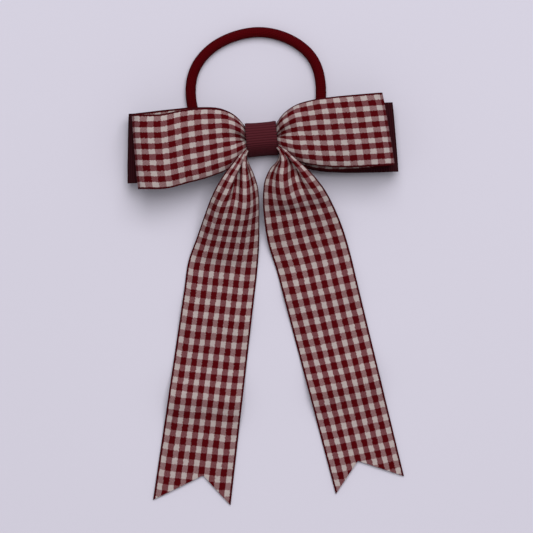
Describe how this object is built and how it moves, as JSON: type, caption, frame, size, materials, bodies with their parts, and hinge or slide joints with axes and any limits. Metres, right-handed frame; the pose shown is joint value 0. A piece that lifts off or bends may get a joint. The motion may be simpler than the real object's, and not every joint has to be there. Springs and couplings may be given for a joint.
{
  "type": "hair bow",
  "caption": "Ribbon hair bow: checked loops over plain backing loops, a ribbed centre wrap, long swallow-tailed tails and a knitted hair elastic.",
  "frame": {"origin": "middle of the flat back of the centre wrap", "axes": "+X along the loops, +Y towards the elastic, +Z out of the front of the bow"},
  "size_m": [0.0934, 0.164, 0.0166],
  "materials": {
    "dark_grosgrain_wrap": "ribbed matt grosgrain",
    "hot_glue": "clear hot-melt glue",
    "sewing_thread": "matt polyester thread",
    "backing_grosgrain": "ribbed matt grosgrain",
    "gingham_ribbon": "woven check, matt",
    "knitted_elastic": "fine knitted cover",
    "elastic_rubber": "natural rubber",
    "elastic_splice": "set adhesive over the joined ends"
  },
  "bodies": {
    "knot": {"centre_wrap": "dark_grosgrain_wrap", "wrap_seam_glue": "hot_glue", "knot_glue": "hot_glue", "gathering_thread": "sewing_thread", "backing_ribbon_centre": "backing_grosgrain", "front_ribbon_centre": "gingham_ribbon", "tail_ribbon_centre": "gingham_ribbon", "left_tail_neck": "gingham_ribbon", "right_tail_neck": "gingham_ribbon"},
    "left_backing": {"left_backing_loop": "backing_grosgrain"},
    "left_front": {"left_front_loop": "gingham_ribbon"},
    "left_tail_top": {"left_tail_upper": "gingham_ribbon"},
    "left_tail_tip": {"left_tail_end": "gingham_ribbon"},
    "right_backing": {"right_backing_loop": "backing_grosgrain"},
    "right_front": {"right_front_loop": "gingham_ribbon"},
    "right_tail_top": {"right_tail_upper": "gingham_ribbon"},
    "right_tail_tip": {"right_tail_end": "gingham_ribbon"},
    "hair_elastic": {"elastic_cover": "knitted_elastic", "elastic_core": "elastic_rubber", "elastic_splice": "elastic_splice"}
  },
  "joints": [
    {"name": "left_backing_tilt", "type": "hinge", "parent": "knot", "child": "left_backing", "pos_m": [-0.00829, 0.00033, 0.00565], "axis": [0.0401, 0.9992, 0], "range_deg": [0, 12]},
    {"name": "left_front_tilt", "type": "hinge", "parent": "left_backing", "child": "left_front", "pos_m": [-0.0083, 0, 0.0078], "axis": [0, 1, 0], "range_deg": [0, 15]},
    {"name": "left_tail_swing", "type": "hinge", "parent": "knot", "child": "left_tail_top", "pos_m": [-0.01159, -0.01913, 0.01345], "axis": [0, 0, -1], "range_deg": [0, 15]},
    {"name": "left_tail_lift", "type": "hinge", "parent": "left_tail_top", "child": "left_tail_tip", "pos_m": [-0.01877, -0.05021, 0.0003], "axis": [-0.9744, 0.225, 0], "range_deg": [0, 85]},
    {"name": "right_backing_tilt", "type": "hinge", "parent": "knot", "child": "right_backing", "pos_m": [0.00829, -0.00033, 0.00565], "axis": [-0.0401, -0.9992, 0], "range_deg": [0, 12]},
    {"name": "right_front_tilt", "type": "hinge", "parent": "right_backing", "child": "right_front", "pos_m": [0.0083, 0, 0.0078], "axis": [0, -1, 0], "range_deg": [0, 15]},
    {"name": "right_tail_swing", "type": "hinge", "parent": "knot", "child": "right_tail_top", "pos_m": [0.00928, -0.0193, 0.01345], "axis": [0, 0, 1], "range_deg": [0, 15]},
    {"name": "right_tail_lift", "type": "hinge", "parent": "right_tail_top", "child": "right_tail_tip", "pos_m": [0.01455, -0.05076, 0.0003], "axis": [-0.9863, -0.165, 0], "range_deg": [0, 85]},
    {"name": "elastic_swing", "type": "hinge", "parent": "knot", "child": "hair_elastic", "pos_m": [0, -0.001, 0.00245], "axis": [-1, 0, 0], "range_deg": [0, 165]}
  ]
}
